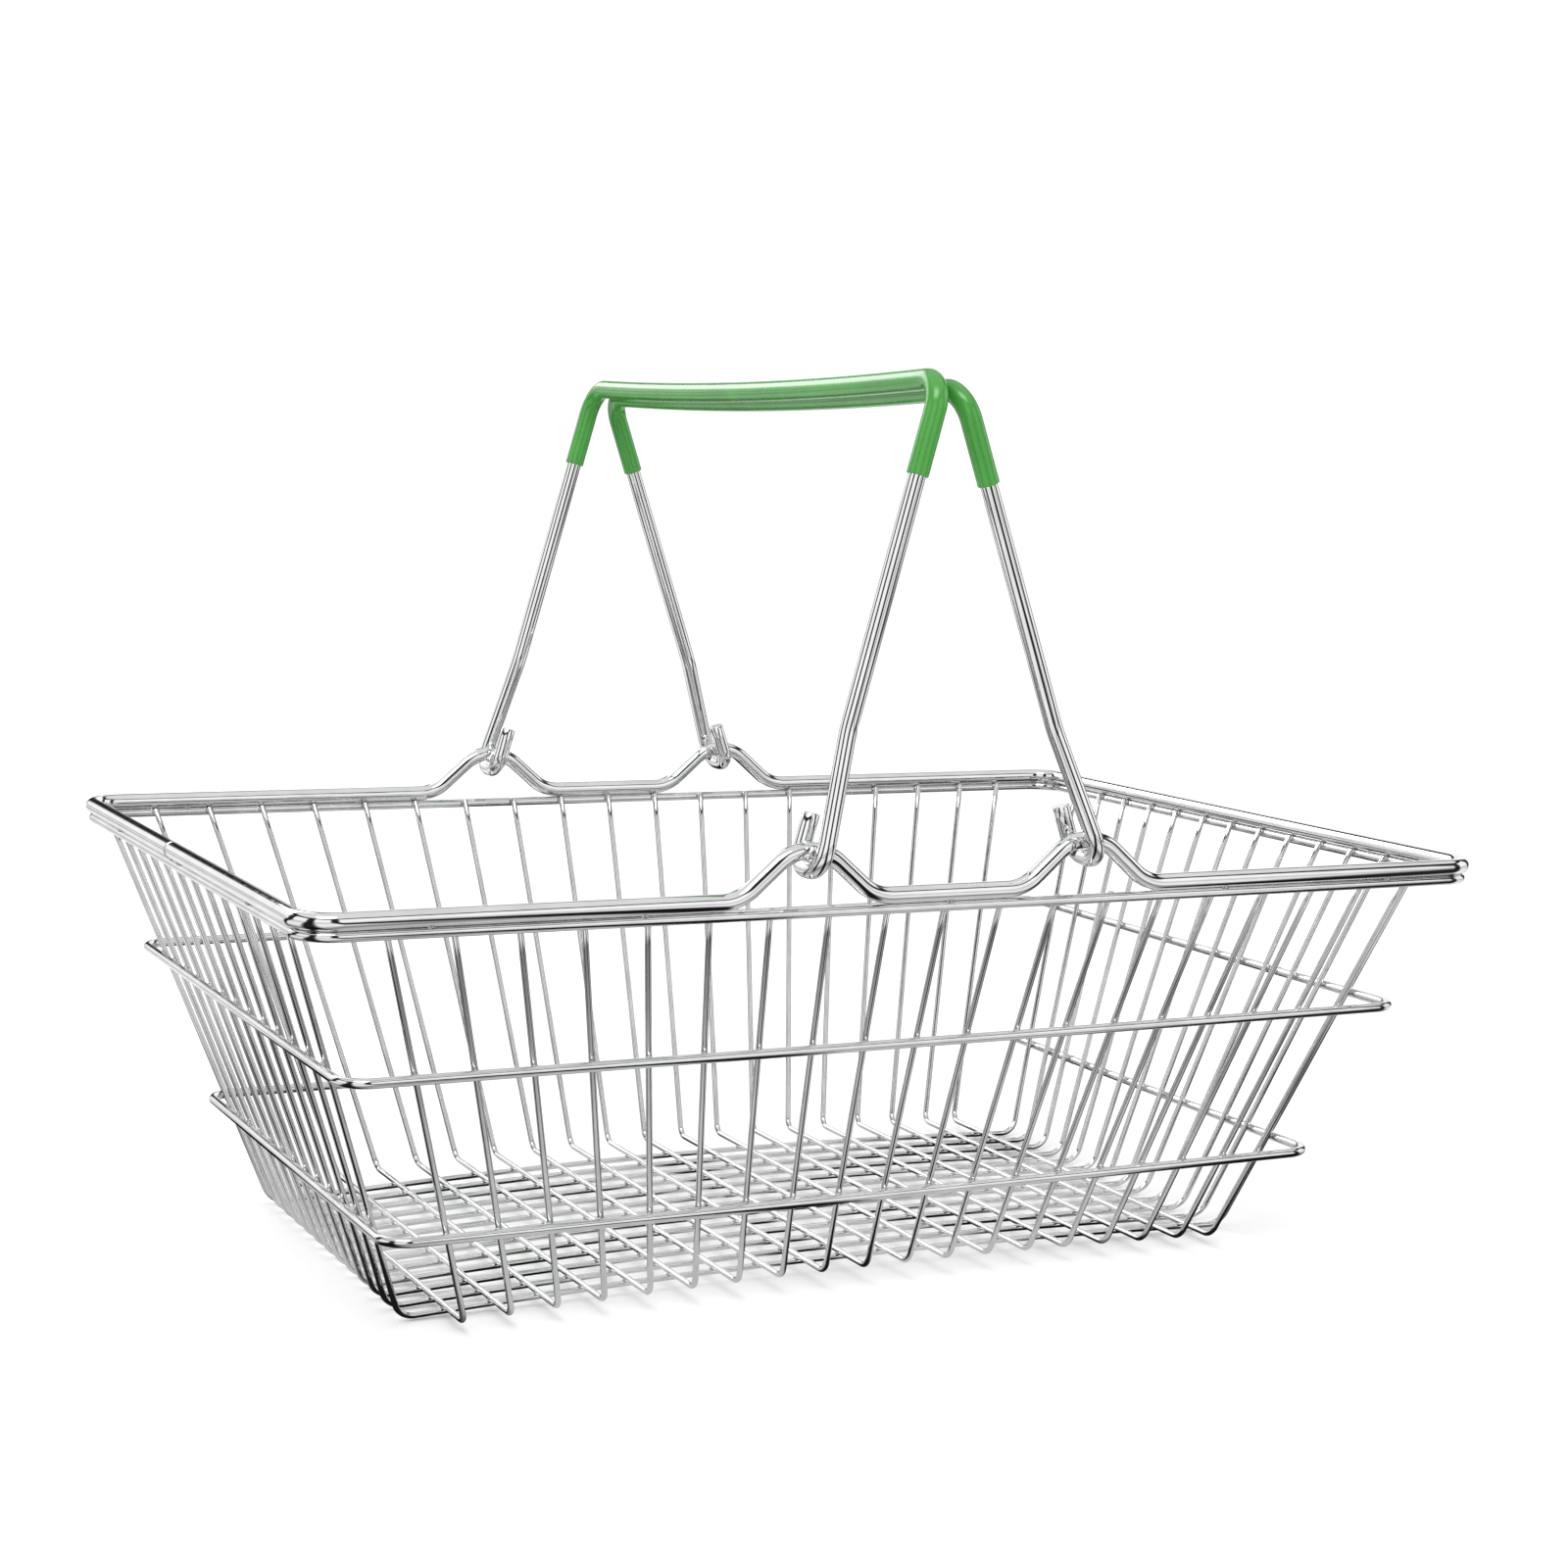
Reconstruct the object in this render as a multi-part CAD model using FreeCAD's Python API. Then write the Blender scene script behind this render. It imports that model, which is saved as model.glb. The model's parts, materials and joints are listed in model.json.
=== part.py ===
import FreeCAD
import Part
import math
import os

V = FreeCAD.Vector

# ---------------------------------------------------------------- dimensions
# Millimetres.  X = length, Y = width, Z = up.  Z = 0 is the underside.

# wire diameters
RIM_D = 6.0          # heavy rim rod
RING_D = 3.5         # the three plain rings
MESH_D = 2.2         # mesh wires of walls and base
HANDLE_D = 6.0       # handle rod
GRIP_D = 7.6         # outside of the vinyl sleeve
GRIP_BORE = 6.04     # inside of the vinyl sleeve
WELD_GAP = 0.02      # hairline between wires that only touch

# rim
RIM_HALF_X = 225.0   # centreline half length
RIM_HALF_Y = 151.5   # centreline half width
RIM_Z = 152.5        # centreline height
RIM_CORNER_R = 12.0

# handle humps pressed into the long sides of the rim
HUMP_X = 54.0        # crest distance from mid length
HUMP_RISE = 16.0     # crest centreline above rim centreline
HUMP_CREST_HALF = 6.5
HUMP_FOOT_HALF = 25.0
HUMP_CREST_R = 16.0
HUMP_FOOT_R = 17.0

# lower rings
MID_Z = 97.2
LOW_Z = 38.0
RING_CORNER_R = 10.0

# wall planes, measured at the mesh wire centrelines where Z = 0
FOOT_HALF_X = 168.7
FOOT_HALF_Y = 98.4

# cross wires: down the front wall, across the base, up the back wall
CROSS_COUNT = 19
CROSS_TOP_HALF = 198.5
CROSS_FOOT_HALF = 153.0
CROSS_LAST_SHIFT = -2.4   # the right-hand one stands a little close
CROSS_BEND_R = 5.5

# long wires: down the left wall, along the base, up the right wall
LONG_COUNT = 13
LONG_TOP_HALF = 122.3
LONG_FOOT_HALF = 79.1
LONG_BEND_R = 8.0

MESH_TOP_Z = 149.5   # trimmed ends of the mesh wires, just under the rim
BASE_ARCH = 4.6      # the base is sprung upward along its length
ARCH_SHARE = 0.90    # share of the base's half length in the one long bend

# handles
HOOK_HALF = 8.5      # half width of the hook under the hump
HOOK_R = 7.0
HOOK_PLAY = 0.25     # hook bar to hump crest
TAIL_LEN = 18.5      # hook bar centre to cut end
LEG_STRAIGHT = 9.0   # straight piece above the hook
LEG_STRAIGHT_R = 12.0
LEG_KINK_LEN = 47.5  # hook bar centre to the kink
LEG_KINK_R = 35.0
LEG_UPPER_HALF_Y = 152.5
GRIP_HALF_Y = 151.0
HANDLE_REACH = 168.4  # hook bar centre to grip centreline
GRIP_X_LEFT = -8.8   # grip centrelines at rest: the pair leans to the left
GRIP_X_RIGHT = -1.6
GRIP_SAG = 2.8       # the grip bar dips at mid width
GRIP_CORNER_R = 11.0
SLEEVE_LEG = 33.5    # sleeve reaches this far down each leg
SLEEVE_END_R = 0.35


# ------------------------------------------------------------------- helpers
def corner(p, q, r, radius):
    """Tangent points and middle of the bend of the given radius at q."""
    a = (p - q).normalize()
    b = (r - q).normalize()
    half = a.getAngle(b) / 2.0
    reach = radius / math.tan(half)
    centre = q + (a + b).normalize() * (radius / math.sin(half))
    middle = centre + (q - centre).normalize() * radius
    return q + a * reach, middle, q + b * reach


def bent_edges(points, radii, closed=False):
    """Straight runs joined by tangent bends.  radii match the bent points."""
    edges = []
    n = len(points)
    if closed:
        start = (points[-1] + points[0]) * 0.5
        loop = [start] + list(points) + [start]
    else:
        loop = list(points)
    here = loop[0]
    for i in range(1, len(loop) - 1):
        radius = radii[i - 1]
        first, middle, last = corner(loop[i - 1], loop[i], loop[i + 1], radius)
        if here.distanceToPoint(first) > 1e-6:
            edges.append(Part.makeLine(here, first))
        edges.append(Part.Arc(first, middle, last).toShape())
        here = last
    if here.distanceToPoint(loop[-1]) > 1e-6:
        edges.append(Part.makeLine(here, loop[-1]))
    return edges


def rod(edges, diameter):
    """A round rod swept along the edges."""
    path = Part.Wire(edges)
    first = edges[0]
    at = first.valueAt(first.FirstParameter)
    along = first.tangentAt(first.FirstParameter)
    circle = Part.Wire([Part.makeCircle(diameter / 2.0, at, along)])
    return path.makePipeShell([circle], True, False)


def ring(half_x, half_y, z, radius, diameter):
    """A closed rounded-rectangle ring."""
    points = [
        V(-half_x, -half_y, z),
        V(half_x, -half_y, z),
        V(half_x, half_y, z),
        V(-half_x, half_y, z),
    ]
    return rod(bent_edges(points, [radius] * 4, True), diameter)


def wall(foot, top, z):
    """Mesh wire distance from the middle, at height z, on a leaning wall."""
    return foot + (top - foot) * z / UNDER_Z


def base_rise(x):
    """Height of the sprung base above its ends, at distance x."""
    half = ARCH_HALF
    if abs(x) >= ARCH_TANGENT:
        return (half - abs(x)) * math.tan(ARCH_SLOPE)
    edge = (half - ARCH_TANGENT) * math.tan(ARCH_SLOPE)
    drop = math.sqrt(ARCH_R ** 2 - ARCH_TANGENT ** 2)
    return edge + math.sqrt(ARCH_R ** 2 - x ** 2) - drop


def save(shape, name):
    shape.exportStep("parts/" + name + ".step")


# ---------------------------------------------------------- derived positions
UNDER_Z = RIM_Z - RIM_D / 2.0 - RING_D / 2.0 - WELD_GAP
TOUCH = (RING_D + MESH_D) / 2.0 + WELD_GAP

# ring to mesh spacing, measured level, on the two leaning walls
SET_Y = TOUCH / math.cos(math.atan2(RIM_HALF_Y - FOOT_HALF_Y, UNDER_Z))
SET_X = TOUCH / math.cos(math.atan2(RIM_HALF_X - FOOT_HALF_X, UNDER_Z))
TOP_HALF_Y = RIM_HALF_Y - SET_Y
TOP_HALF_X = RIM_HALF_X - SET_X

# the arch is one bend between two straight ends
LONG_Z = MESH_D / 2.0
ARCH_HALF = wall(FOOT_HALF_X, TOP_HALF_X, LONG_Z)
ARCH_PEAK = BASE_ARCH / (1.0 - ARCH_SHARE / 2.0)
ARCH_SLOPE = math.atan2(ARCH_PEAK, ARCH_HALF)
ARCH_TANGENT = ARCH_SHARE * ARCH_HALF
ARCH_R = ARCH_TANGENT / math.sin(ARCH_SLOPE)

os.makedirs("parts", exist_ok=True)

# ------------------------------------------------------------------ rim wire
points = [V(-RIM_HALF_X, -RIM_HALF_Y, RIM_Z)]
radii = [RIM_CORNER_R]
profile = [
    (-HUMP_FOOT_HALF, 0.0, HUMP_FOOT_R),
    (-HUMP_CREST_HALF, HUMP_RISE, HUMP_CREST_R),
    (HUMP_CREST_HALF, HUMP_RISE, HUMP_CREST_R),
    (HUMP_FOOT_HALF, 0.0, HUMP_FOOT_R),
]
for crest in (-HUMP_X, HUMP_X):
    for dx, dz, radius in profile:
        points.append(V(crest + dx, -RIM_HALF_Y, RIM_Z + dz))
        radii.append(radius)
points.append(V(RIM_HALF_X, -RIM_HALF_Y, RIM_Z))
radii.append(RIM_CORNER_R)
points.append(V(RIM_HALF_X, RIM_HALF_Y, RIM_Z))
radii.append(RIM_CORNER_R)
for crest in (HUMP_X, -HUMP_X):
    for dx, dz, radius in profile:
        points.append(V(crest - dx, RIM_HALF_Y, RIM_Z + dz))
        radii.append(radius)
points.append(V(-RIM_HALF_X, RIM_HALF_Y, RIM_Z))
radii.append(RIM_CORNER_R)
rim = rod(bent_edges(points, radii, True), RIM_D)
save(rim, "rim_wire")

# --------------------------------------------------------------- plain rings
save(ring(RIM_HALF_X, RIM_HALF_Y, UNDER_Z, RIM_CORNER_R, RING_D), "upper_ring")
for name, z in (("middle_ring", MID_Z), ("low_ring", LOW_Z)):
    half_x = wall(FOOT_HALF_X, TOP_HALF_X, z) + SET_X
    half_y = wall(FOOT_HALF_Y, TOP_HALF_Y, z) + SET_Y
    save(ring(half_x, half_y, z, RING_CORNER_R, RING_D), name)

# --------------------------------------------------------------- cross wires
for i in range(CROSS_COUNT):
    step = 2.0 * i / (CROSS_COUNT - 1) - 1.0
    shift = CROSS_LAST_SHIFT if i == CROSS_COUNT - 1 else 0.0
    x_foot = CROSS_FOOT_HALF * step + shift
    x_top = CROSS_TOP_HALF * step + shift
    z_foot = LONG_Z + MESH_D + WELD_GAP + base_rise(x_foot)
    y_foot = wall(FOOT_HALF_Y, TOP_HALF_Y, z_foot)
    y_top = wall(FOOT_HALF_Y, TOP_HALF_Y, MESH_TOP_Z)
    points = [
        V(x_top, -y_top, MESH_TOP_Z),
        V(x_foot, -y_foot, z_foot),
        V(x_foot, y_foot, z_foot),
        V(x_top, y_top, MESH_TOP_Z),
    ]
    wire = rod(bent_edges(points, [CROSS_BEND_R] * 2), MESH_D)
    save(wire, "cross_wire_%02d" % (i + 1))

# ---------------------------------------------------------------- long wires
for j in range(LONG_COUNT):
    step = 2.0 * j / (LONG_COUNT - 1) - 1.0
    y_foot = LONG_FOOT_HALF * step
    y_top = LONG_TOP_HALF * step
    x_top = wall(FOOT_HALF_X, TOP_HALF_X, MESH_TOP_Z)
    points = [
        V(-x_top, y_top, MESH_TOP_Z),
        V(-ARCH_HALF, y_foot, LONG_Z),
        V(0, y_foot, LONG_Z + ARCH_PEAK),
        V(ARCH_HALF, y_foot, LONG_Z),
        V(x_top, y_top, MESH_TOP_Z),
    ]
    radii = [LONG_BEND_R, ARCH_R, LONG_BEND_R]
    wire = rod(bent_edges(points, radii), MESH_D)
    save(wire, "long_wire_%02d" % (j + 1))

# ------------------------------------------------------------------- handles
HINGE_Z = RIM_Z + HUMP_RISE - RIM_D / 2.0 - HANDLE_D / 2.0 - HOOK_PLAY


def handle_point(side, grip_x, y, u):
    """Point in the handle's own leaning plane, u up from the hook bar."""
    hinge_x = side * HUMP_X
    rise = math.sqrt(HANDLE_REACH ** 2 - (grip_x - hinge_x) ** 2)
    x = hinge_x + (grip_x - hinge_x) * u / HANDLE_REACH
    return V(x, y, HINGE_Z + rise * u / HANDLE_REACH)


def handle_edges(side, grip_x):
    """The rod from cut end to cut end, down one leg and up the other."""
    outer = RIM_HALF_Y + HOOK_HALF
    inner = RIM_HALF_Y - HOOK_HALF
    half = [
        (inner, TAIL_LEN, None),
        (inner, 0.0, HOOK_R),
        (outer, 0.0, HOOK_R),
        (outer, LEG_STRAIGHT, LEG_STRAIGHT_R),
        (LEG_UPPER_HALF_Y, LEG_KINK_LEN, LEG_KINK_R),
        (GRIP_HALF_Y, HANDLE_REACH, GRIP_CORNER_R),
    ]
    sag_u = HANDLE_REACH - 2.0 * GRIP_SAG
    sag_slope = math.atan2(2.0 * GRIP_SAG, GRIP_HALF_Y)
    sag_reach = GRIP_HALF_Y - GRIP_CORNER_R * 1.5
    sag_radius = sag_reach / math.tan(sag_slope)
    points = [handle_point(side, grip_x, -y, u) for y, u, _ in half]
    points.append(handle_point(side, grip_x, 0.0, sag_u))
    points += [handle_point(side, grip_x, y, u) for y, u, _ in reversed(half)]
    bends = [r for _, _, r in half[1:]]
    return bent_edges(points, bends + [sag_radius] + bends[::-1])


def sleeve_edges(edges, cut_z):
    """The part of the handle path above cut_z, which the vinyl covers."""
    kept = []
    for edge in edges:
        a = edge.valueAt(edge.FirstParameter)
        b = edge.valueAt(edge.LastParameter)
        if min(a.z, b.z) >= cut_z:
            kept.append(edge)
        elif max(a.z, b.z) > cut_z:
            t = (cut_z - a.z) / (b.z - a.z)
            cut = a + (b - a) * t
            if a.z < b.z:
                kept.append(Part.makeLine(cut, b))
            else:
                kept.append(Part.makeLine(a, cut))
    return kept


def grip(edges, cut_z):
    """Vinyl sleeve, its outer end edges eased."""
    outer = rod(edges, GRIP_D)
    ends = []
    for edge in outer.Edges:
        curve = edge.Curve
        if curve.TypeId != "Part::GeomCircle":
            continue
        if abs(curve.Radius - GRIP_D / 2.0) > 1e-4:
            continue
        if edge.BoundBox.ZMax < cut_z + GRIP_D:
            ends.append(edge)
    outer = outer.makeFillet(SLEEVE_END_R, ends)
    return outer.cut(rod(edges, GRIP_BORE))


for name, side, grip_x in (("left", -1.0, GRIP_X_LEFT), ("right", 1.0, GRIP_X_RIGHT)):
    edges = handle_edges(side, grip_x)
    cut_z = handle_point(side, grip_x, 0.0, HANDLE_REACH - SLEEVE_LEG).z
    save(rod(edges, HANDLE_D), "handle_wire_" + name)
    save(grip(sleeve_edges(edges, cut_z), cut_z), "grip_" + name)
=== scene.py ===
"""A chromed wire shopping basket with two swinging handles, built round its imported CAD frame."""

import json
import math

import bpy
from mathutils import Matrix, Vector


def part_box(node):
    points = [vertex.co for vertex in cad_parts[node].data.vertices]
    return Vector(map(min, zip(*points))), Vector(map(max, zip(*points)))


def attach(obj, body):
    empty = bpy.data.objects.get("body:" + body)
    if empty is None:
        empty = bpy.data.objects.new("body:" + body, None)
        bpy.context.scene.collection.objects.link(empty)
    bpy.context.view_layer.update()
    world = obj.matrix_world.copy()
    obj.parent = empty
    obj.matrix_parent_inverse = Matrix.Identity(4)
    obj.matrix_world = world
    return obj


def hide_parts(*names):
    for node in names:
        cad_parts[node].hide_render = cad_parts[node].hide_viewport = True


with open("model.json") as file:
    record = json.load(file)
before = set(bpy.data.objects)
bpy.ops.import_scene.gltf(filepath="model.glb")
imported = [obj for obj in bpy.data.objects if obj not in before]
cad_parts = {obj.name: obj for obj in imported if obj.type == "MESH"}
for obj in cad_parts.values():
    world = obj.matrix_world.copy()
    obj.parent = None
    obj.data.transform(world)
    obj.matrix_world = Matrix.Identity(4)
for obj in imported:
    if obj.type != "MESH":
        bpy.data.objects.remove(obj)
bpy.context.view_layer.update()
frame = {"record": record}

MM = 0.001

# ------------------------------------------------------------ driving dimensions
# Wire gauges and bend radii in metres. Places come from the frame's boxes.
RIM_R = 3.0 * MM
RING_R = 1.75 * MM
MESH_R = 1.1 * MM
GRIP_R = 3.8 * MM
RIM_CORNER = 12.0 * MM
RING_CORNER = 10.0 * MM
CROSS_BEND = 5.5 * MM
LONG_BEND = 8.0 * MM
GRIP_CORNER = 11.0 * MM

CROSS_COUNT = 19
LONG_COUNT = 13
TIP_LIFT = 0.35         # of its radius that a leaning mesh wire's cut end stands over its centre

# Sides of each round section, and the chamfer on cut ends.
MESH_SIDES = 16
RING_SIDES = 24
ROD_SIDES = 36
GRIP_SIDES = 40
SEAM_SIDES = 32
MESH_CHAMFER = 0.2 * MM
ROD_CHAMFER = 0.4 * MM

# Largest turn between two rings of a bend, and the longest straight step.
MESH_STEP = math.radians(7.0)
ROD_STEP = math.radians(4.0)
STRAIGHT_STEP = 12.0 * MM
HANDLE_STRAIGHT_STEP = 6.0 * MM

# Humps in the rim, measured from each hump's middle.
HUMP_FOOT = 25.0 * MM
HUMP_CREST = 6.5 * MM
HUMP_FOOT_R = 17.0 * MM
HUMP_CREST_R = 16.0 * MM

# Handles, measured from the hook bar along the handle's leaning plane.
HOOK_HALF = 8.5 * MM
HOOK_R = 7.0 * MM
TAIL_LEN = 18.5 * MM
LEG_STRAIGHT = 9.0 * MM
LEG_STRAIGHT_R = 12.0 * MM
LEG_KINK = 47.5 * MM
LEG_KINK_R = 35.0 * MM
LEG_NARROWING = 1.5 * MM
SLEEVE_SHARE = 0.28     # of the narrowing is still open at the sleeve's end
GRIP_SAG = 2.8 * MM
SAG_CLEAR = 1.5         # grip corner radii between the leg and the end of the sag
SLEEVE_LEG = 33.5 * MM
SLEEVE_ROUND = 0.6 * MM
SLEEVE_ROUND_STEPS = 6
SLEEVE_PLAY = 0.02 * MM

# Weld beads, their sizes as shares of a full bead and their places as shares of a half side.
NUGGET_ALONG = 1.7 * MM
NUGGET_ACROSS = 0.85    # of its length
NUGGET_DEEP = 0.95 * MM
NUGGET_TURNS = 10
NUGGET_BANDS = 6
RING_WELD = 1.0
BASE_WELD = 0.85
RIM_WELD = 1.2
RIM_LONG_WELDS = (-0.82, -0.5, 0.0, 0.5, 0.82)
RIM_SHORT_WELDS = (-0.6, 0.0, 0.6)

# Seams where a closed wire's ends meet, their places as shares of the half width.
RIM_SEAM = 0.08
RIM_SEAM_LEN = 3.0 * MM
RING_SEAMS = (("upper_ring", 0.3), ("middle_ring", -0.45), ("low_ring", 0.5))
RING_SEAM_LEN = 1.8 * MM
SEAM_SWELL = 0.07       # of the wire's radius
SEAM_SINK = 0.04 * MM   # the seam's ends lie this far under the wire's face
SEAM_RINGS = 12

# Viewpoint: yaw to the right, pitch down and roll, in degrees.
CAMERA_PLACE = (-0.4629, -0.9562, 0.2947)
CAMERA_TURN = (25.87, 6.96, 1.54)
CAMERA_LENS = 63.49
CAMERA_SHIFT = (0.0159, 0.0110)

# Studio: soft boxes round the basket, and rings that only mirrors see in the floor.
BOX_COUNT = 6
BOX_TURN = 2.15
FLOOR_SIZE = 40.0
FLOOR_REACH = 3.0       # metres over which the floor's mirrored rings spread
EVEN_LIGHT = 1.15
# Each light's name, place, target, size and power.
LIGHTS = (
    ("key", (-0.9, -1.2, 2.4), (0.0, 0.0, 0.1), (1.6, 1.0), 22.0),
    ("side", (-0.45, 1.7, 1.25), (-0.2, 0.0, 0.15), (1.1, 0.9), 9.0),
)

BASKET = "basket"
SIDES = (("left", -1.0), ("right", 1.0))
HINGES = {j["name"].split("_")[1]: j for j in frame["record"]["behaviour"]["joints"]}
HUMP_X = HINGES["right"]["pos_m"][0]


# ------------------------------------------------------------------ path helpers
def bent_path(points, radii, closed=False, step=ROD_STEP, run=STRAIGHT_STEP):
    """Points along straight runs joined by tangent bends."""
    points = [Vector(p) for p in points]
    if closed:
        start = (points[-1] + points[0]) / 2.0
        points = [start] + points + [start]
    path = [points[0]]
    for i in range(1, len(points) - 1):
        here = points[i]
        a = (points[i - 1] - here).normalized()
        b = (points[i + 1] - here).normalized()
        turn = math.pi - a.angle(b)
        radius = radii[i - 1]
        reach = radius * math.tan(turn / 2.0)
        add_run(path, here + a * reach, run)
        centre = here + (a + b).normalized() * (radius / math.cos(turn / 2.0))
        spoke = here + a * reach - centre
        axis = spoke.cross(here + b * reach - centre).normalized()
        count = max(2, math.ceil(turn / step), math.ceil(turn * radius / run))
        for k in range(1, count + 1):
            path.append(centre + Matrix.Rotation(turn * k / count, 3, axis) @ spoke)
    add_run(path, points[-1], run)
    return path[:-1] if closed else path


def add_run(path, end, run):
    """Adds a straight run to end, in even steps, to the path."""
    start = path[-1]
    length = (end - start).length
    if length < 1e-7:
        return
    count = max(1, math.ceil(length / run))
    for k in range(1, count + 1):
        path.append(start.lerp(end, k / count))


def frames(path, closed=False):
    """A (point, normal, side) triple at each path point, turning as little as possible."""
    count = len(path)
    tangents = []
    for i in range(count):
        before = path[i - 1] if (i or closed) else path[i]
        after = path[(i + 1) % count] if (i < count - 1 or closed) else path[i]
        tangents.append((after - before).normalized())
    normals = [tangents[0].orthogonal().normalized()]
    for i in range(1, count):
        swing = tangents[i - 1].rotation_difference(tangents[i])
        normals.append((swing @ normals[-1]).normalized())
    twist = 0.0
    if closed:
        back = tangents[-1].rotation_difference(tangents[0]) @ normals[-1]
        twist = back.angle(normals[0])
        if back.cross(normals[0]).dot(tangents[0]) < 0:
            twist = -twist
    made = []
    for i in range(count):
        normal = Matrix.Rotation(twist * i / count, 3, tangents[i]) @ normals[i]
        made.append((path[i], normal, tangents[i].cross(normal)))
    return made


def skin(name, rings, sides, closed=False):
    """A mesh through round rings, each (centre, normal, side, radius)."""
    verts = []
    for centre, normal, side, radius in rings:
        for k in range(sides):
            t = 2.0 * math.pi * k / sides
            verts.append(centre + (normal * math.cos(t) + side * math.sin(t)) * radius)
    faces = []
    count = len(rings)
    for i in range(count if closed else count - 1):
        j = (i + 1) % count
        for k in range(sides):
            m = (k + 1) % sides
            faces.append((i * sides + k, i * sides + m, j * sides + m, j * sides + k))
    if not closed:
        faces.append(tuple(range(sides - 1, -1, -1)))
        faces.append(tuple(range((count - 1) * sides, count * sides)))
    return mesh_object(name, verts, faces)


def tube(name, path, radius, sides, closed=False, bevel=0.0):
    """A round wire along the path. bevel eases its two cut ends."""
    rings = [(*f, radius) for f in frames(path, closed)]
    if bevel:
        rings = bevelled(rings, path, bevel)
    return skin(name, rings, sides, closed)


def bevelled(rings, path, bevel):
    """The same rings with a small chamfer at both ends."""
    start, normal, side, radius = rings[0]
    end, last_normal, last_side, _ = rings[-1]
    into = (path[1] - start).normalized() * bevel
    back = (path[-2] - end).normalized() * bevel
    head = [(start, normal, side, radius - bevel), (start + into, normal, side, radius)]
    tail = [
        (end + back, last_normal, last_side, radius),
        (end, last_normal, last_side, radius - bevel),
    ]
    return head + rings[1:-1] + tail


def mesh_object(name, verts, faces):
    """An object in the scene, smooth on its four-sided faces and flat on its end caps."""
    mesh = bpy.data.meshes.new(name)
    mesh.from_pydata([tuple(v) for v in verts], [], faces)
    mesh.update()
    for polygon in mesh.polygons:
        polygon.use_smooth = len(polygon.vertices) == 4
    piece = bpy.data.objects.new(name, mesh)
    bpy.context.scene.collection.objects.link(piece)
    return piece


# ------------------------------------------------------------- places from the frame
def half(node, axis, radius):
    """Centreline distance from the middle of a ring."""
    low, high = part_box(node)
    return (high[axis] - low[axis]) / 2.0 - radius


def height(node):
    """Centreline height of a level ring."""
    low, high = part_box(node)
    return (low[2] + high[2]) / 2.0


def wall_line(axis):
    """A function from height to a mesh wire's distance from the middle."""
    low_z = height("low_ring")
    high_z = height("upper_ring")
    low_d = half("low_ring", axis, RING_R)
    high_d = half("upper_ring", axis, RING_R)
    slope = (high_d - low_d) / (high_z - low_z)
    spacing = (RING_R + MESH_R) / math.cos(math.atan(slope))
    return lambda z: low_d - spacing + slope * (z - low_z)


WALL_X = wall_line(0)
WALL_Y = wall_line(1)
MESH_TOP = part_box("cross_wire_10")[1][2] - TIP_LIFT * MESH_R
BASE_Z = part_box("long_wire_01")[0][2] + MESH_R
BASE_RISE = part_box("cross_wire_10")[0][2] + MESH_R - (BASE_Z + 2.0 * MESH_R)
ARCH_SHARE = 0.9    # of the half length taken up by the base's long bend
ARCH_PEAK = BASE_RISE / (1.0 - ARCH_SHARE / 2.0)


def foot_and_top(node, axis):
    """Where a mesh wire stands along a wall, at its foot and at its top."""
    low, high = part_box(node)
    near = low[axis] + MESH_R
    far = high[axis] - MESH_R
    return (near, far) if near + far > 0 else (far, near)


# ------------------------------------------------------------------------ wires
def cross_wire(number):
    """Down the front wall, across the base and up the back wall."""
    node = "cross_wire_%02d" % number
    x_foot, x_top = foot_and_top(node, 0)
    z_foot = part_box(node)[0][2] + MESH_R
    points = [
        (x_top, -WALL_Y(MESH_TOP), MESH_TOP),
        (x_foot, -WALL_Y(z_foot), z_foot),
        (x_foot, WALL_Y(z_foot), z_foot),
        (x_top, WALL_Y(MESH_TOP), MESH_TOP),
    ]
    path = bent_path(points, [CROSS_BEND] * 2, step=MESH_STEP)
    piece = tube("wire_" + node, path, MESH_R, MESH_SIDES, bevel=MESH_CHAMFER)
    finish_wire(piece, node, MESH_CHROME)


def long_wire(number):
    """Down the left wall, along the sprung base and up the right wall."""
    node = "long_wire_%02d" % number
    y_foot, y_top = foot_and_top(node, 1)
    reach = WALL_X(BASE_Z)
    slope = math.atan2(ARCH_PEAK, reach)
    arch_radius = ARCH_SHARE * reach / math.sin(slope)
    points = [
        (-WALL_X(MESH_TOP), y_top, MESH_TOP),
        (-reach, y_foot, BASE_Z),
        (0.0, y_foot, BASE_Z + ARCH_PEAK),
        (reach, y_foot, BASE_Z),
        (WALL_X(MESH_TOP), y_top, MESH_TOP),
    ]
    radii = [LONG_BEND, arch_radius, LONG_BEND]
    path = bent_path(points, radii, step=MESH_STEP)
    piece = tube("wire_" + node, path, MESH_R, MESH_SIDES, bevel=MESH_CHAMFER)
    finish_wire(piece, node, MESH_CHROME)


def ring(node, corner):
    """One level ring round the walls."""
    x = half(node, 0, RING_R)
    y = half(node, 1, RING_R)
    z = height(node)
    points = [(-x, -y, z), (x, -y, z), (x, y, z), (-x, y, z)]
    path = bent_path(points, [corner] * 4, closed=True)
    piece = tube("wire_" + node, path, RING_R, RING_SIDES, closed=True)
    finish_wire(piece, node, MESH_CHROME)


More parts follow.
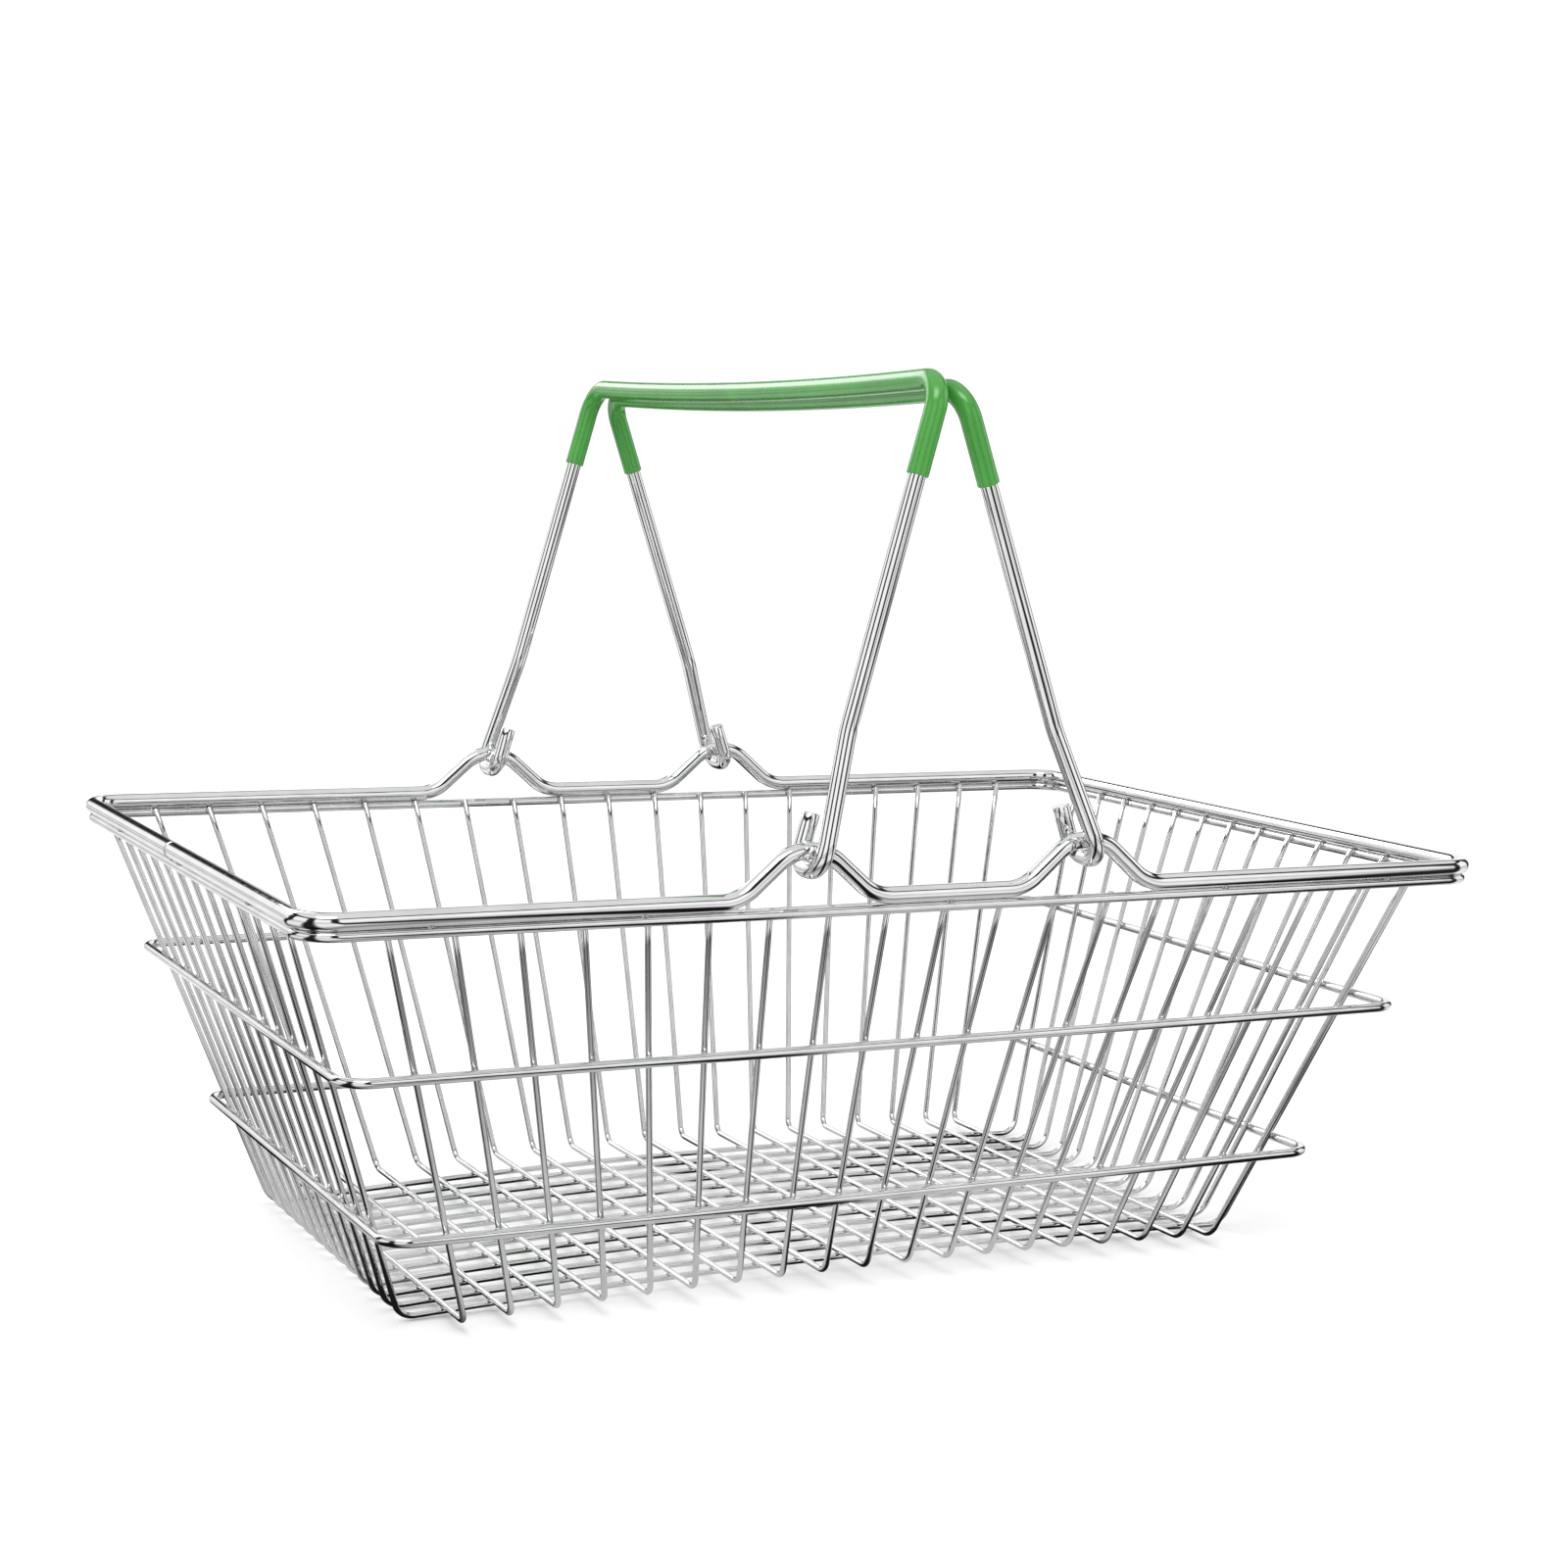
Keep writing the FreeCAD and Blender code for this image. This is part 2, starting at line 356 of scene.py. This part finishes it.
def rim_wire():
    """The heavy rim, with two humps in each long side."""
    x = half("rim_wire", 0, RIM_R)
    y = half("rim_wire", 1, RIM_R)
    low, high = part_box("rim_wire")
    z = low[2] + RIM_R
    crest = high[2] - RIM_R
    hump = [(-HUMP_FOOT, z, HUMP_FOOT_R), (-HUMP_CREST, crest, HUMP_CREST_R)]
    hump += [(-dx, dz, radius) for dx, dz, radius in reversed(hump)]
    points = [(-x, -y, z)]
    radii = [RIM_CORNER]
    for middle in (-HUMP_X, HUMP_X):
        for dx, dz, radius in hump:
            points.append((middle + dx, -y, dz))
            radii.append(radius)
    points += [(x, -y, z), (x, y, z)]
    radii += [RIM_CORNER] * 2
    for middle in (HUMP_X, -HUMP_X):
        for dx, dz, radius in hump:
            points.append((middle - dx, y, dz))
            radii.append(radius)
    points.append((-x, y, z))
    radii.append(RIM_CORNER)
    path = bent_path(points, radii, closed=True)
    piece = tube("wire_rim", path, RIM_R, ROD_SIDES, closed=True)
    finish_wire(piece, "rim_wire", ROD_CHROME)


def finish_wire(piece, node, material):
    """Gives a wire its plate and its body, and hides the node it stands for."""
    piece.data.materials.append(material)
    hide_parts(node)
    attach(piece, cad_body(node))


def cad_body(node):
    """The record's body that holds a node."""
    for body, nodes in frame["record"]["behaviour"]["bodies"].items():
        if node in nodes:
            return body
    raise ValueError(node)


# ---------------------------------------------------------------------- handles
def handle_path(name, side):
    """The rod from tail to tail in the handle's leaning plane, and the height of the sleeve ends."""
    hinge = Vector(HINGES[name]["pos_m"])
    grip_low, grip_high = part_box("grip_" + name)
    rod_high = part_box("handle_wire_" + name)[1]
    rim_y = half("rim_wire", 1, RIM_R)
    sleeve_y = grip_high[1] - GRIP_R
    grip_y = sleeve_y - LEG_NARROWING * SLEEVE_SHARE
    dip = 2.0 * GRIP_SAG / grip_y * GRIP_CORNER
    inner = grip_low[0] if side > 0 else grip_high[0]
    top_x = inner + side * GRIP_R
    rise = rod_high[2] - RIM_R + dip - hinge.z
    lean = hinge.x - top_x
    reach = math.hypot(rise, lean)

    def place(y, u):
        return Vector((hinge.x - lean * u / reach, y, hinge.z + rise * u / reach))

    leg = [
        (rim_y - HOOK_HALF, TAIL_LEN, None),
        (rim_y - HOOK_HALF, 0.0, HOOK_R),
        (rim_y + HOOK_HALF, 0.0, HOOK_R),
        (rim_y + HOOK_HALF, LEG_STRAIGHT, LEG_STRAIGHT_R),
        (grip_y + LEG_NARROWING, LEG_KINK, LEG_KINK_R),
        (grip_y, reach, GRIP_CORNER),
    ]
    sag_slope = math.atan2(2.0 * GRIP_SAG, grip_y)
    sag_radius = (grip_y - SAG_CLEAR * GRIP_CORNER) / math.tan(sag_slope)
    points = [place(-y, u) for y, u, _ in leg]
    points.append(place(0.0, reach - 2.0 * GRIP_SAG))
    points += [place(y, u) for y, u, _ in reversed(leg)]
    bends = [radius for _, _, radius in leg[1:]]
    radii = bends + [sag_radius] + bends[::-1]
    path = bent_path(points, radii, run=HANDLE_STRAIGHT_STEP)
    return path, place(0.0, reach - SLEEVE_LEG).z


def handle(name, side):
    """One handle rod and its vinyl sleeve."""
    path, sleeve_z = handle_path(name, side)
    rod = tube("rod_handle_" + name, path, RIM_R, ROD_SIDES, bevel=ROD_CHAMFER)
    finish_wire(rod, "handle_wire_" + name, ROD_CHROME)
    sleeve = grip_sleeve("sleeve_" + name, cut_above(path, sleeve_z))
    sleeve.data.materials.append(VINYL)
    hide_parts("grip_" + name)
    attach(sleeve, "handle_" + name)


def cut_above(path, z):
    """The stretch of the path that lies above z, cut to end exactly there."""
    inside = [i for i, p in enumerate(path) if p.z > z]
    first, last = inside[0], inside[-1]

    def cross(a, b):
        return a.lerp(b, (z - a.z) / (b.z - a.z))

    head = cross(path[first - 1], path[first])
    tail = cross(path[last], path[last + 1])
    return [head] + path[first:last + 1] + [tail]


def grip_sleeve(name, path):
    """A closed vinyl tube with rolled ends, snug on the rod."""
    bore = RIM_R + SLEEVE_PLAY
    spots = frames(path)
    outer = rolled_end(spots[0], path[1] - path[0])
    outer += [(*f, GRIP_R) for f in spots[1:-1]]
    outer += reversed(rolled_end(spots[-1], path[-2] - path[-1]))
    inner = [(*f, bore) for f in reversed(spots)]
    return skin(name, outer + inner, GRIP_SIDES, closed=True)


def rolled_end(spot, inward):
    """Rings that round a sleeve's end over, from the end face to full size."""
    centre, normal, side = spot
    inward = inward.normalized()
    rings = []
    for k in range(SLEEVE_ROUND_STEPS + 1):
        t = math.pi / 2.0 * k / SLEEVE_ROUND_STEPS
        depth = SLEEVE_ROUND * (1.0 - math.cos(t))
        radius = GRIP_R - SLEEVE_ROUND * (1.0 - math.sin(t))
        rings.append((centre + inward * depth, normal, side, radius))
    return rings


# ------------------------------------------------------------------------- welds
def add_nugget(verts, faces, centre, normal, along, size):
    """Appends one squashed weld bead, flattest along its normal."""
    normal = normal.normalized()
    along = along.normalized()
    across = normal.cross(along)
    first = len(verts)
    verts.append(centre + normal * NUGGET_DEEP * size)
    for band in range(1, NUGGET_BANDS):
        tilt = math.pi * band / NUGGET_BANDS
        for k in range(NUGGET_TURNS):
            t = 2.0 * math.pi * k / NUGGET_TURNS
            flat = along * math.cos(t) * NUGGET_ALONG
            flat += across * math.sin(t) * NUGGET_ALONG * NUGGET_ACROSS
            verts.append(centre + (flat * math.sin(tilt) + normal * NUGGET_DEEP * math.cos(tilt)) * size)
    verts.append(centre - normal * NUGGET_DEEP * size)
    last = len(verts) - 1
    for k in range(NUGGET_TURNS):
        m = (k + 1) % NUGGET_TURNS
        faces.append((first, first + 1 + k, first + 1 + m))
        foot = last - NUGGET_TURNS
        faces.append((foot + m, foot + k, last))
        for band in range(NUGGET_BANDS - 2):
            a = first + 1 + band * NUGGET_TURNS
            b = a + NUGGET_TURNS
            faces.append((a + k, b + k, b + m, a + m))


def weld_piece(name, spots):
    """One piece holding many weld beads, each (centre, normal, along, size)."""
    verts, faces = [], []
    for spot in spots:
        add_nugget(verts, faces, *spot)
    piece = mesh_object(name, verts, faces)
    for polygon in piece.data.polygons:
        polygon.use_smooth = True
    piece.data.materials.append(WELD_CHROME)
    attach(piece, BASKET)


def ring_welds(node):
    """Beads where the mesh wires cross one ring."""
    z = height(node)
    spots = []
    for axis, prefix, count in ((1, "cross_wire_%02d", CROSS_COUNT), (0, "long_wire_%02d", LONG_COUNT)):
        other = 1 - axis
        out = half(node, axis, RING_R)
        wall = (WALL_X, WALL_Y)[axis]
        slope = math.atan(wall(1.0) - wall(0.0))
        for number in range(1, count + 1):
            foot, top = foot_and_top(prefix % number, other)
            place = foot + (top - foot) * (z - BASE_Z) / (MESH_TOP - BASE_Z)
            for sign in (-1.0, 1.0):
                centre = Vector((0.0, 0.0, z))
                centre[other] = place
                centre[axis] = sign * out
                normal = Vector((0.0, 0.0, -math.sin(slope)))
                normal[axis] = sign * math.cos(slope)
                along = Vector((0.0, 0.0, 0.0))
                along[other] = 1.0
                spots.append((centre - normal * RING_R, normal, along, RING_WELD))
    weld_piece("welds_" + node, spots)


def base_welds():
    """Beads where cross wires lie on long wires in the base."""
    spots = []
    for i in range(1, CROSS_COUNT + 1):
        node = "cross_wire_%02d" % i
        x = foot_and_top(node, 0)[0]
        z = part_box(node)[0][2]
        for j in range(1, LONG_COUNT + 1):
            y = foot_and_top("long_wire_%02d" % j, 1)[0]
            spots.append((Vector((x, y, z)), Vector((0, 0, 1)), Vector((1, 0, 0)), BASE_WELD))
    weld_piece("welds_base", spots)


def rim_welds():
    """Longer beads between the heavy rim and the ring under it."""
    x = half("rim_wire", 0, RIM_R)
    y = half("rim_wire", 1, RIM_R)
    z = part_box("rim_wire")[0][2]
    spots = []
    up = Vector((0, 0, 1))
    for share in RIM_LONG_WELDS:
        for sign in (-1.0, 1.0):
            spots.append((Vector((share * x, sign * y, z)), up, Vector((1, 0, 0)), RIM_WELD))
    for share in RIM_SHORT_WELDS:
        for sign in (-1.0, 1.0):
            spots.append((Vector((sign * x, share * y, z)), up, Vector((0, 1, 0)), RIM_WELD))
    weld_piece("welds_rim", spots)


def butt_weld(name, centre, radius, width):
    """The swollen seam where a closed wire's ends meet, on a side that runs front to back."""
    along = Vector((0, 1, 0))
    normal = along.orthogonal().normalized()
    side = along.cross(normal)
    rings = []
    for k in range(SEAM_RINGS + 1):
        t = k / SEAM_RINGS
        lump = SEAM_SWELL * radius * math.sin(math.pi * t) - SEAM_SINK
        rings.append((centre + along * width * (t - 0.5), normal, side, radius + lump))
    piece = skin(name, rings, SEAM_SIDES)
    piece.data.materials.append(WELD_CHROME)
    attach(piece, BASKET)


def butt_welds():
    """The rim's seam on the left short side, and the rings' seams on the right one."""
    rim_x = half("rim_wire", 0, RIM_R)
    rim_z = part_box("rim_wire")[0][2] + RIM_R
    rim_y = half("rim_wire", 1, RIM_R)
    butt_weld("seam_rim", Vector((-rim_x, RIM_SEAM * rim_y, rim_z)), RIM_R, RIM_SEAM_LEN)
    for node, share in RING_SEAMS:
        centre = Vector((half(node, 0, RING_R), share * half(node, 1, RING_R), height(node)))
        butt_weld("seam_" + node, centre, RING_R, RING_SEAM_LEN)


# --------------------------------------------------------------------- materials
def material(name):
    """A new node material and the parts needed to build on it."""
    made = bpy.data.materials.new(name)
    made.use_nodes = True
    nodes = made.node_tree.nodes
    return made, nodes, made.node_tree.links, nodes["Principled BSDF"]


def noise(nodes, links, scale, detail):
    """A noise value in object space, its scale in cycles per metre."""
    where = nodes.new("ShaderNodeTexCoord")
    texture = nodes.new("ShaderNodeTexNoise")
    texture.inputs["Scale"].default_value = scale
    texture.inputs["Detail"].default_value = detail
    links.new(where.outputs["Object"], texture.inputs["Vector"])
    return texture.outputs["Fac"]


def ramp(nodes, links, value, stops):
    """A colour ramp over the value; stops are (position, colour)."""
    made = nodes.new("ShaderNodeValToRGB")
    elements = made.color_ramp.elements
    while len(elements) < len(stops):
        elements.new(0.5)
    for element, (position, colour) in zip(elements, stops):
        element.position = position
        element.color = (*colour, 1.0)
    links.new(value, made.inputs["Fac"])
    return made.outputs["Color"]


def span(nodes, links, value, low, high):
    """The value's middle range mapped to low..high."""
    made = nodes.new("ShaderNodeMapRange")
    made.inputs["From Min"].default_value = 0.3
    made.inputs["From Max"].default_value = 0.7
    made.inputs["To Min"].default_value = low
    made.inputs["To Max"].default_value = high
    links.new(value, made.inputs["Value"])
    return made.outputs["Result"]


def bump(nodes, links, shader, value, depth):
    """Surface relief of the given depth in metres."""
    made = nodes.new("ShaderNodeBump")
    made.inputs["Strength"].default_value = 1.0
    made.inputs["Distance"].default_value = depth
    links.new(value, made.inputs["Height"])
    links.new(made.outputs["Normal"], shader.inputs["Normal"])


def chrome(name, dark, light, smooth, dull, ripple):
    """Bright plate with faint changes of tone and gloss and a slight ripple."""
    made, nodes, links, shader = material(name)
    shader.inputs["Metallic"].default_value = 1.0
    tone = noise(nodes, links, 70.0, 4.0)
    links.new(ramp(nodes, links, tone, [(0.3, dark), (0.7, light)]), shader.inputs["Base Color"])
    gloss = noise(nodes, links, 240.0, 5.0)
    links.new(span(nodes, links, gloss, smooth, dull), shader.inputs["Roughness"])
    bump(nodes, links, shader, noise(nodes, links, 160.0, 3.0), ripple)
    return made


def vinyl(name):
    """Glossy dipped vinyl: a clear deep green with a slight orange peel."""
    made, nodes, links, shader = material(name)
    cloud = noise(nodes, links, 45.0, 3.0)
    green = ramp(nodes, links, cloud, [(0.3, (0.035, 0.235, 0.026)), (0.7, (0.052, 0.300, 0.038))])
    links.new(green, shader.inputs["Base Color"])
    gloss = noise(nodes, links, 300.0, 3.0)
    links.new(span(nodes, links, gloss, 0.22, 0.28), shader.inputs["Roughness"])
    shader.inputs["IOR"].default_value = 1.50
    shader.inputs["Coat Weight"].default_value = 0.5
    shader.inputs["Coat Roughness"].default_value = 0.15
    bump(nodes, links, shader, noise(nodes, links, 260.0, 2.0), 0.015 * MM)
    return made


def calc(nodes, links, operation, a, b=0.0, c=0.0):
    """One math node over values that are sockets or plain numbers."""
    made = nodes.new("ShaderNodeMath")
    made.operation = operation
    for socket, value in zip(made.inputs, (a, b, c)):
        if isinstance(value, float):
            socket.default_value = value
        else:
            links.new(value, socket)
    return made.outputs[0]


def colour_mix(nodes, links, blend, a, b):
    """Two colours joined by a blend such as MULTIPLY or ADD."""
    made = nodes.new("ShaderNodeMix")
    made.data_type = "RGBA"
    made.blend_type = blend
    made.inputs["Factor"].default_value = 1.0
    links.new(a, made.inputs["A"])
    links.new(b, made.inputs["B"])
    return made.outputs["Result"]


def around(nodes, links, coordinates):
    """Soft boxes round the basket with thin dark gaps between them, and the direction's lift."""
    parts = nodes.new("ShaderNodeSeparateXYZ")
    links.new(coordinates, parts.inputs[0])
    azimuth = calc(nodes, links, "ARCTAN2", parts.outputs["Y"], parts.outputs["X"])
    turns = calc(nodes, links, "MULTIPLY_ADD", azimuth, float(BOX_COUNT), BOX_TURN)
    wave = calc(nodes, links, "MULTIPLY_ADD", calc(nodes, links, "SINE", turns), 0.5, 0.5)
    boxes = ramp(nodes, links, wave, [(0.10, (0.02,) * 3), (0.24, (0.35,) * 3), (0.40, (1.08,) * 3)])
    return boxes, parts.outputs["Z"]


def floor_paint(name):
    """Pale matt paint, and a painted reflection: mirrors see glowing light and dark rings in it, dimmer
    under the basket, which give the plate its streaks.
    """
    made, nodes, links, shader = material(name)
    cloud = noise(nodes, links, 3.0, 3.0)
    links.new(ramp(nodes, links, cloud, [(0.3, (0.86, 0.86, 0.865)), (0.7, (0.88, 0.88, 0.885))]),
              shader.inputs["Base Color"])
    shader.inputs["Roughness"].default_value = 0.7
    shader.inputs["Specular IOR Level"].default_value = 0.0
    where = nodes.new("ShaderNodeTexCoord").outputs["Object"]
    length = nodes.new("ShaderNodeVectorMath")
    length.operation = "LENGTH"
    links.new(where, length.inputs[0])
    share = calc(nodes, links, "DIVIDE", length.outputs["Value"], FLOOR_REACH)
    # Painted reflection seen only by mirrors: glowing rings, dimmer under the basket, with dark rings
    # round it.
    rings = ramp(nodes, links, share,
                 [(0.07, (0.55,) * 3), (0.10, (0.20,) * 3), (0.14, (0.90,) * 3),
                  (0.36, (0.75,) * 3), (0.46, (0.12,) * 3), (0.62, (0.85,) * 3)])
    boxes, _ = around(nodes, links, where)
    glow = nodes.new("ShaderNodeEmission")
    links.new(colour_mix(nodes, links, "MULTIPLY", rings, boxes), glow.inputs["Color"])
    path = nodes.new("ShaderNodeLightPath")
    choose = nodes.new("ShaderNodeMixShader")
    links.new(path.outputs["Is Glossy Ray"], choose.inputs["Fac"])
    links.new(shader.outputs[0], choose.inputs[1])
    links.new(glow.outputs[0], choose.inputs[2])
    links.new(choose.outputs[0], nodes["Material Output"].inputs["Surface"])
    return made


ROD_CHROME = chrome("rod_chrome", (0.80, 0.80, 0.81), (0.90, 0.90, 0.905), 0.03, 0.09, 0.015 * MM)
MESH_CHROME = chrome("mesh_chrome", (0.72, 0.72, 0.73), (0.86, 0.86, 0.865), 0.06, 0.14, 0.02 * MM)
WELD_CHROME = chrome("weld_chrome", (0.46, 0.46, 0.47), (0.70, 0.70, 0.71), 0.2, 0.4, 0.12 * MM)
VINYL = vinyl("grip_vinyl")


# ------------------------------------------------------------------------ studio
def studio():
    """A pale floor under even light. Mirrors see soft boxes with dark gaps between them."""
    bpy.ops.mesh.primitive_plane_add(size=FLOOR_SIZE, location=(0.0, 0.0, 0.0))
    floor = bpy.context.object
    floor.name = "floor"
    floor.data.materials.append(floor_paint("floor_paint"))

    world = bpy.data.worlds.new("studio")
    world.use_nodes = True
    bpy.context.scene.world = world
    nodes, links = world.node_tree.nodes, world.node_tree.links
    where = nodes.new("ShaderNodeTexCoord")
    boxes, lift = around(nodes, links, where.outputs["Generated"])
    up = ramp(nodes, links, lift,
              [(0.0, (0.1,) * 3), (0.05, (0.95,) * 3), (0.52, (1.0,) * 3), (0.58, (0.03,) * 3)])
    ceiling = ramp(nodes, links, lift,
                   [(0.0, (0.0,) * 3), (0.66, (0.0,) * 3), (0.72, (0.78,) * 3)])
    sides = colour_mix(nodes, links, "MULTIPLY", boxes, up)
    total = colour_mix(nodes, links, "ADD", sides, ceiling)

    lit = nodes["Background"]
    links.new(total, lit.inputs["Color"])
    plain = nodes.new("ShaderNodeBackground")
    plain.inputs["Color"].default_value = (1.0, 1.0, 1.0, 1.0)
    plain.inputs["Strength"].default_value = EVEN_LIGHT
    path = nodes.new("ShaderNodeLightPath")
    choose = nodes.new("ShaderNodeMixShader")
    links.new(path.outputs["Is Glossy Ray"], choose.inputs["Fac"])
    links.new(plain.outputs[0], choose.inputs[1])
    links.new(lit.outputs[0], choose.inputs[2])
    links.new(choose.outputs[0], nodes["World Output"].inputs["Surface"])


def area_light(name, place, target, size, power):
    """A rectangular soft light aimed at the target."""
    data = bpy.data.lights.new(name, "AREA")
    data.shape = "RECTANGLE"
    data.size, data.size_y = size
    data.energy = power
    lamp = bpy.data.objects.new(name, data)
    lamp.location = place
    lamp.rotation_euler = (Vector(target) - Vector(place)).to_track_quat("-Z", "Y").to_euler()
    bpy.context.scene.collection.objects.link(lamp)


def camera():
    """The viewpoint: from the front left, a little below the grips' height."""
    data = bpy.data.cameras.new("camera")
    data.sensor_width = 36.0
    data.lens = CAMERA_LENS
    data.shift_x, data.shift_y = CAMERA_SHIFT
    data.clip_end = 100.0
    eye = bpy.data.objects.new("camera", data)
    yaw, pitch, roll = (math.radians(a) for a in CAMERA_TURN)
    turn = Matrix.Rotation(-yaw, 3, "Z") @ Matrix.Rotation(math.pi / 2.0 - pitch, 3, "X")
    eye.rotation_euler = (turn @ Matrix.Rotation(roll, 3, "Z")).to_euler()
    eye.location = CAMERA_PLACE
    bpy.context.scene.collection.objects.link(eye)
    bpy.context.scene.camera = eye


# -------------------------------------------------------------------------- build
rim_wire()
ring("upper_ring", RIM_CORNER)
ring("middle_ring", RING_CORNER)
ring("low_ring", RING_CORNER)
for number in range(1, CROSS_COUNT + 1):
    cross_wire(number)
for number in range(1, LONG_COUNT + 1):
    long_wire(number)
for name, side in SIDES:
    handle(name, side)
for node in ("upper_ring", "middle_ring", "low_ring"):
    ring_welds(node)
base_welds()
rim_welds()
butt_welds()
studio()
for lamp in LIGHTS:
    area_light(*lamp)
camera()
bpy.context.scene.view_settings.view_transform = "Standard"

bpy.context.view_layer.update()
